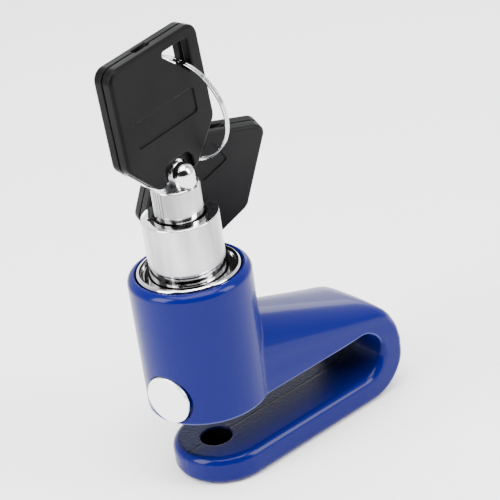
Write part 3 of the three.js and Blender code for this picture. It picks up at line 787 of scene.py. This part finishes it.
STEEL = (0.56, 0.56, 0.57)
BRASS = (0.72, 0.50, 0.22)
KEY_PLATE = (0.7, 0.7, 0.71)
CYLINDER_SATIN_AND_REFLECTION = (BARREL_TOP + 2.2, SHELL_HIGH.z - 0.12, 0.22)
SHAFT_SATIN_AND_REFLECTION = (KEY_SHOULDER - 5.6, KEY_SHOULDER - 0.25, 0.2)
FINISHES = {
    "cast_body": body_paint(),
    "sleeve_steel": machined("sleeve_steel_turned", STEEL),
    "mouth_chrome": plated("mouth_chrome_plate", (0.62, 0.61, 0.60), 0.05, 0.002),
    "seal_rubber": rubber("seal_rubber_moulded"),
    "screw_steel": machined("screw_steel_black", (0.12, 0.12, 0.13), 0.35),
    "plug_chrome": plated("plug_plate", roughness=0.25, around=False),
    "seat_steel": machined("seat_steel_stamped", STEEL),
    "spring_steel": machined("spring_steel_wire", STEEL, 0.3),
    "cylinder_chrome": plated("cylinder_plate", roughness=0.04, grain=0.002, satin=CYLINDER_SATIN_AND_REFLECTION),
    "core_brass": machined("core_brass_turned", BRASS),
    "bolt_steel": plated("bolt_steel_ground", (0.66, 0.66, 0.67), 0.16),
    "latch_steel": machined("latch_steel_stamped", STEEL),
    "rotor_brass": machined("rotor_brass_turned", (0.5, 0.42, 0.28), 0.25),
    "key_pin_brass": machined("key_pin_brass_turned", BRASS, 0.22),
    "driver_pin_steel": machined("driver_pin_steel_turned", STEEL, 0.22),
    "pin_spring_steel": machined("pin_spring_wire", STEEL, 0.3),
    "key_metal": plated("key_plate", KEY_PLATE, 0.13, 0.003, satin=SHAFT_SATIN_AND_REFLECTION),
    # painted light: both key heads are the same black moulding; the spare's is given a lighter
    # colour for the light its head catches
    "key_head_plastic": plastic("key_head_moulding", (0.002, 0.002, 0.0021)),
    "spare_key_metal": plated("spare_key_plate", KEY_PLATE, 0.13, 0.003, satin=SHAFT_SATIN_AND_REFLECTION),
    "spare_key_head_plastic": plastic("spare_key_head_moulding", (0.0055, 0.0055, 0.0058)),
    "ring_steel": plated("ring_plate", (0.6, 0.6, 0.61), 0.1, around=False),
}


# ---- placing pieces --------------------------------------------------------------
def slot_of(node):
    """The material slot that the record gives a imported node."""
    for part in frame["record"]["subparts"]:
        if part["node"] == node:
            return part["material_slot"]
    raise KeyError(node)


def body_of(node):
    """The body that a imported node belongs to."""
    for body, members in frame["record"]["behaviour"]["bodies"].items():
        if node in members:
            return body
    raise KeyError(node)


def detailed(node, mesh, matrix=Matrix.Identity(4)):
    """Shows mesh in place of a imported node, in that node's finish and on its body."""
    thing = new_object(node + "_detailed", mesh)
    thing.matrix_world = matrix
    mesh.materials.clear()
    mesh.materials.append(FINISHES[slot_of(node)])
    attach(thing, body_of(node))
    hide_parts(node)
    return thing


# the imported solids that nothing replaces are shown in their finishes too
for node_name, node_object in frame["nodes"].items():
    node_object.data.materials.clear()
    node_object.data.materials.append(FINISHES[slot_of(node_name)])
    node_object.data.shade_smooth()
    node_object.data.set_sharp_from_angle(angle=math.radians(35))

coarse = 1.0
margin = 0.9
body_low = [c - margin for c in BODY_LOW]
body_high = [c + margin for c in BODY_HIGH]
body_step = 0.3 * coarse
body_skin = surface_net("lock_body_skin", lock_body_field, body_low, body_high, body_step)
detailed("lock_body", body_skin)

plug_place = Matrix.Rotation(PLUG_ANGLE, 4, "Z") @ Matrix.Translation((0, 0, PLUG_Z * MM))


def side_plug_mesh():
    """A round plug with a flat face that stands a little proud of the barrel."""
    rim = 0.25
    base = PLUG_SEAT_R + 0.3
    profile = [(0, base), (PLUG_R - 0.3, base), (PLUG_R, PLUG_SEAT_R + 0.4)]
    profile += arc(PLUG_R - rim, PLUG_FACE - rim, rim, 0, 90, 6)
    profile += [(0, PLUG_FACE)]
    mesh = lathe("side_plug_turned", profile, 96)
    mesh.transform(Matrix.Rotation(math.pi / 2, 4, "Y"))
    return mesh


detailed("side_plug", side_plug_mesh(), plug_place)

# ---- turned pieces in the mouth --------------------------------------------------
lip_top = RING_HIGH.z
lip_inner = LIP_R - 2 * LIP_ROUND
flat_top = BARREL_TOP - 0.55
groove_low, groove_high = SEAL_GROOVE
mouth_profile = [(RING_INNER, RING_LOW.z + 0.1), (LIP_R, RING_LOW.z + 0.1)]
mouth_profile += arc(LIP_R - LIP_ROUND, lip_top - LIP_ROUND, LIP_ROUND, 0, 170, 14)
mouth_profile += [
    (lip_inner - 0.12, flat_top + 0.05),
    (lip_inner - 0.3, flat_top),
    (RING_INNER + 0.18, flat_top),
    (RING_INNER + 0.05, flat_top - 0.05),
    (RING_INNER, flat_top - 0.18),
    (RING_INNER, groove_high),
    (RING_INNER + SEAL_GROOVE_DEPTH, groove_high),
    (RING_INNER + SEAL_GROOVE_DEPTH, groove_low),
    (RING_INNER, groove_low),
]
detailed("mouth_ring", lathe("mouth_ring_turned", mouth_profile, 160))

shell_top = SHELL_HIGH.z
flange_chamfer = 0.3
rim_r, hole_rim_r = 0.22, 0.12
shell_profile = [
    (SHELL_BORE_R, SHELL_LOW.z),
    (FLANGE_R - flange_chamfer, SHELL_LOW.z),
    (FLANGE_R, SHELL_LOW.z + flange_chamfer),
    (FLANGE_R, FLANGE_TOP - flange_chamfer),
    (FLANGE_R - flange_chamfer, FLANGE_TOP),
    (CYLINDER_R, FLANGE_TOP),
]
shell_profile += arc(CYLINDER_R - rim_r, shell_top - rim_r, rim_r, 0, 90, 5)
shell_profile += arc(KEY_HOLE_R + hole_rim_r, shell_top - hole_rim_r, hole_rim_r, 90, 180, 3)
shell_profile += [(r, shell_top - KEY_HOLE_DEPTH) for r in (KEY_HOLE_R, SHELL_BORE_R)]
across_notch = (-NOTCH_HALF_WIDTH, NOTCH_HALF_WIDTH)
notch = block("notch", x=(4.5, 6.7), y=across_notch, z=(shell_top - 1.9, shell_top + 1))
latch_window = block("window", x=(-1.8, 1.8), y=(5, 10), z=(40.0, 42.4))
shell_cuts = [turned_mesh(notch, NOTCH_ANGLE), latch_window]
shell_mesh = combine("cylinder_shell_turned", lathe("shell", shell_profile, 160), shell_cuts)
detailed("cylinder_shell", shell_mesh)


# ---- return spring and locking bolt ----------------------------------------------
def coil_mesh(name, radius, wire, low, high, turns):
    """A compression spring with its axis on Z, its wire's ends resting at low and high."""
    steps = round(turns * 64)
    path = []
    for i in range(steps + 1):
        a = 2 * math.pi * turns * i / steps
        z = low + wire + (high - low - 2 * wire) * i / steps
        path.append(Vector((radius * math.cos(a), radius * math.sin(a), z)))
    return sweep(name, path, arc(0, 0, wire, 0, 330, 11), Vector((0, 0, 1)))


spring_low, spring_high = SPRING_LOW.z, SPRING_HIGH.z
spring_mesh = coil_mesh(
    "return_spring_wire", SPRING_R, SPRING_WIRE_R, spring_low, spring_high, SPRING_COILS
)
spring = detailed("return_spring", spring_mesh)
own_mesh(spring)

pin_end, disc_top = BOLT_LOW.z, BOLT_HIGH.z
disc_low = disc_top - CARRIER_T
nose_r, disc_chamfer = 0.7, 0.15
bolt_profile = [(0, pin_end), (BOLT_R - 0.9, pin_end)]
bolt_profile += arc(BOLT_R - nose_r, pin_end + nose_r, nose_r, -60, 0, 6)
bolt_profile += [
    (BOLT_R, disc_low),
    (CARRIER_R - disc_chamfer, disc_low),
    (CARRIER_R, disc_low + disc_chamfer),
    (CARRIER_R, disc_top - disc_chamfer),
    (CARRIER_R - disc_chamfer, disc_top),
    (0, disc_top),
]
detailed("locking_bolt", lathe("locking_bolt_turned", bolt_profile))


# ---- keys ------------------------------------------------------------------------
def bitting(i):
    """The depth of a key's cut, one of four steps."""
    return 0.3 + 0.3 * ((i * 3) % 4)


def head_place(lean):
    """The place of a head that leans about a point inside the shaft."""
    pivot = Matrix.Translation((0, 0, HEAD_PIVOT_Z * MM))
    return pivot @ Matrix.Rotation(lean, 4, "Y") @ pivot.inverted()


def key_blank_mesh(name, lean):
    """Tube, shaft and boss turned, with the bow plate let into the shaft's end."""
    shaft = [(0, KEY_BORE_TOP), (KEY_BORE_R, KEY_BORE_TOP)]
    shaft += [(KEY_BORE_R, KEY_TIP + 0.1), (KEY_BORE_R + 0.1, KEY_TIP)]
    shaft += [(KEY_R - 0.15, KEY_TIP), (KEY_R, KEY_TIP + 0.15)]
    shaft += arc(KEY_R - 0.3, KEY_SHOULDER - 0.3, 0.3, 0, 90, 5)
    shaft += [(0, KEY_SHOULDER)]
    tube = lathe("shaft", shaft, 128)
    cuts = []
    for i in range(KEY_CUTS):
        angle = (i + 0.5) * 2 * math.pi / KEY_CUTS - KEY_TURN
        place = (KEY_CUT_CIRCLE_R * math.cos(angle), KEY_CUT_CIRCLE_R * math.sin(angle))
        low, high = KEY_TIP - 1, KEY_TIP + bitting(i)
        profile = [(0, low), (KEY_CUT_R, low), (KEY_CUT_R, high), (0, high)]
        cuts.append(lathe("bit", profile, 24, place))
    for angle in GROOVE_ANGLES:
        out = (KEY_R - 0.12, KEY_R + 0.4)
        groove = block("groove", x=out, y=(-0.1, 0.1), z=(GROOVE_LOW, KEY_SHOULDER + 1))
        cuts.append(turned_mesh(groove, angle))
    shallow = (KEY_SHOULDER - 0.3, KEY_SHOULDER + 0.1)
    cuts.append(block("boss_slot", x=(-1.5, 1.2), y=(-6, -2.4), z=shallow))
    tube = combine(name, tube, cuts)
    nib = block("nib", x=(4.6, 5.42), y=(-NIB_HALF_WIDTH, NIB_HALF_WIDTH), z=(54, 56))
    nib = turned_mesh(nib, NIB_ANGLE - KEY_TURN)
    plate = prism("bow", bow_outline(0), -BOW_HALF_T, BOW_HALF_T)
    plate.transform(head_place(lean))
    boss = [(0, KEY_SHOULDER - 1), (BOSS_R - 0.05, KEY_SHOULDER - 1), (BOSS_R, KEY_SHOULDER + 0.3)]
    boss += arc(0, BOSS_Z, BOSS_R, 0, 90, 14)
    boss = lathe("boss", boss, 64, BOSS_PLACE)
    return combine(name, tube, [nib, plate, boss], "UNION")


front_low = [-HEAD_HALF_BASE - 0.6, -HEAD_HALF_T - 0.4, HEAD_BOTTOM - 0.6]
front_high = [HEAD_HALF_BASE + 0.6, -PARTING + 0.4, HEAD_TOP + 0.6]
back_low = [front_low[0], PARTING - 0.4, front_low[2]]
back_high = [front_high[0], HEAD_HALF_T + 0.4, front_high[2]]
head_step = 0.2 * coarse
head_front = surface_net("head_front", head_field(-1), front_low, front_high, head_step)
head_back = surface_net("head_back", head_field(1), back_low, back_high, head_step)

inserted = Matrix.Rotation(KEY_TURN, 4, "Z")
detailed("key_blank", key_blank_mesh("key_blank_plated", HEAD_LEAN), inserted)
detailed("key_head_front", head_front, inserted @ head_place(HEAD_LEAN))
detailed("key_head_back", head_back, inserted @ head_place(HEAD_LEAN))

spare_turn = Matrix.Identity(4)
for tilt, axis in zip(SPARE_ROTATION, "XYZ"):
    spare_turn = spare_turn @ Matrix.Rotation(tilt, 4, axis)
spare_origin = Matrix.Translation((0, 0, -SPARE_REF_Z * MM))
spare = Matrix.Translation(SPARE_CENTRE * MM) @ spare_turn @ spare_origin
detailed("spare_key_blank", key_blank_mesh("spare_key_blank_plated", 0), spare)
detailed("spare_key_head_front", head_front.copy(), spare)
detailed("spare_key_head_back", head_back.copy(), spare)


# ---- split ring ------------------------------------------------------------------
def split_ring_mesh():
    """A flattened wire wound in nearly two turns, one beside the other."""
    steps = round(SPLIT_TURNS * 128)
    height = SPLIT_PITCH * SPLIT_TURNS
    path = []
    for i in range(steps + 1):
        a = 2 * math.pi * SPLIT_TURNS * i / steps
        along = height * (i / steps - 0.5)
        path.append(Vector((SPLIT_R * math.cos(a), SPLIT_R * math.sin(a), along)))
    corner_x = SPLIT_HALF_WIDTH - SPLIT_EDGE_R
    corner_y = SPLIT_HALF_HEIGHT - SPLIT_EDGE_R
    section = []
    for cx, cy, start in ((1, 1, 0), (-1, 1, 90), (-1, -1, 180), (1, -1, 270)):
        section += arc(cx * corner_x, cy * corner_y, SPLIT_EDGE_R, start, start + 90, 4)
    return sweep("split_ring_wire", path, section, Vector((0, 0, 1)))


ring_turn = Matrix.Rotation(SPLIT_TURN, 4, "Z") @ Matrix.Rotation(math.pi / 2 - SPLIT_TILT, 4, "Y")
detailed("split_ring", split_ring_mesh(), Matrix.Translation(SPLIT_CENTRE * MM) @ ring_turn)


# ---- studio ----------------------------------------------------------------------
def floor_plane():
    half = 4.0
    corners = [(-half, -half, 0), (half, -half, 0), (half, half, 0), (-half, half, 0)]
    mesh = bpy.data.meshes.new("studio_floor")
    mesh.from_pydata(corners, [], [(0, 1, 2, 3)])
    mesh.materials.append(floor_finish())
    return new_object("studio_floor", mesh)


floor_plane()

# the main camera: it looks at a point in the lock's middle plane, in metres like the lights
LOOK_AT = Vector((16.624, 0, 44.392)) * MM
CAMERA_DISTANCE = 396.96 * MM
CAMERA_TURN = math.radians(-38.583)
CAMERA_RISE = math.radians(27.167)
CAMERA_ROLL = math.radians(8.41)
FOCAL_LENGTH = 135.6
SENSOR_WIDTH = 36


def softbox(name, turn, rise, distance, width, height, power):
    """An area light that faces the object. turn is measured from the camera's own direction."""
    light = bpy.data.lights.new(name, "AREA")
    light.shape = "RECTANGLE"
    light.size, light.size_y = width, height
    light.energy = power
    thing = new_object(name, light)
    a = CAMERA_TURN - math.pi / 2 + math.radians(turn)
    e = math.radians(rise)
    away = Vector((math.cos(a) * math.cos(e), math.sin(a) * math.cos(e), math.sin(e)))
    thing.location = LOOK_AT + away * distance
    thing.rotation_euler = away.to_track_quat("Z", "Y").to_euler()


softbox("softbox_left", turn=-62, rise=32, distance=0.75, width=0.35, height=0.6, power=11.0)
softbox("softbox_right", turn=70, rise=30, distance=0.8, width=0.3, height=0.6, power=8.5)
softbox("softbox_top", turn=10, rise=80, distance=0.8, width=0.7, height=0.7, power=17.0)
softbox("softbox_rear", turn=174, rise=16, distance=1.0, width=0.6, height=0.34, power=2.2)

# the camera's axes: back from the lock, and right and up, turned by the roll
back = Vector(
    (
        math.sin(CAMERA_TURN) * math.cos(CAMERA_RISE),
        -math.cos(CAMERA_TURN) * math.cos(CAMERA_RISE),
        math.sin(CAMERA_RISE),
    )
)
level = Vector((math.cos(CAMERA_TURN), math.sin(CAMERA_TURN), 0))
upright = back.cross(level)
right = level * math.cos(CAMERA_ROLL) - upright * math.sin(CAMERA_ROLL)
up = level * math.sin(CAMERA_ROLL) + upright * math.cos(CAMERA_ROLL)

# A white studio that darkens evenly towards the side where the main camera stands.
world = bpy.data.worlds.new("studio")
world.use_nodes = True
studio = world.node_tree
backdrop = studio.nodes["Background"]
backdrop.inputs["Color"].default_value = (0.97, 0.98, 1.0, 1)
bearing = studio.nodes.new("ShaderNodeVectorMath")
bearing.operation = "DOT_PRODUCT"
bearing.inputs[1].default_value = back
direction = studio.nodes.new("ShaderNodeTexCoord").outputs["Generated"]
studio.links.new(direction, bearing.inputs[0])
shade = studio.nodes.new("ShaderNodeMapRange")
shade.inputs["From Min"].default_value = -0.6
shade.inputs["From Max"].default_value = 0.75
shade.inputs["To Min"].default_value = 2.2
shade.inputs["To Max"].default_value = 0.03
studio.links.new(bearing.outputs["Value"], shade.inputs["Value"])
studio.links.new(shade.outputs["Result"], backdrop.inputs["Strength"])
bpy.context.scene.world = world

lens = bpy.data.cameras.new("camera")
lens.lens = FOCAL_LENGTH
lens.sensor_width = SENSOR_WIDTH
lens.sensor_fit = "HORIZONTAL"
lens.clip_start = 0.01
camera = new_object("camera", lens)
camera_turn = Matrix((right, up, back)).transposed().to_4x4()
camera.matrix_world = Matrix.Translation(LOOK_AT + back * CAMERA_DISTANCE) @ camera_turn
bpy.context.scene.camera = camera
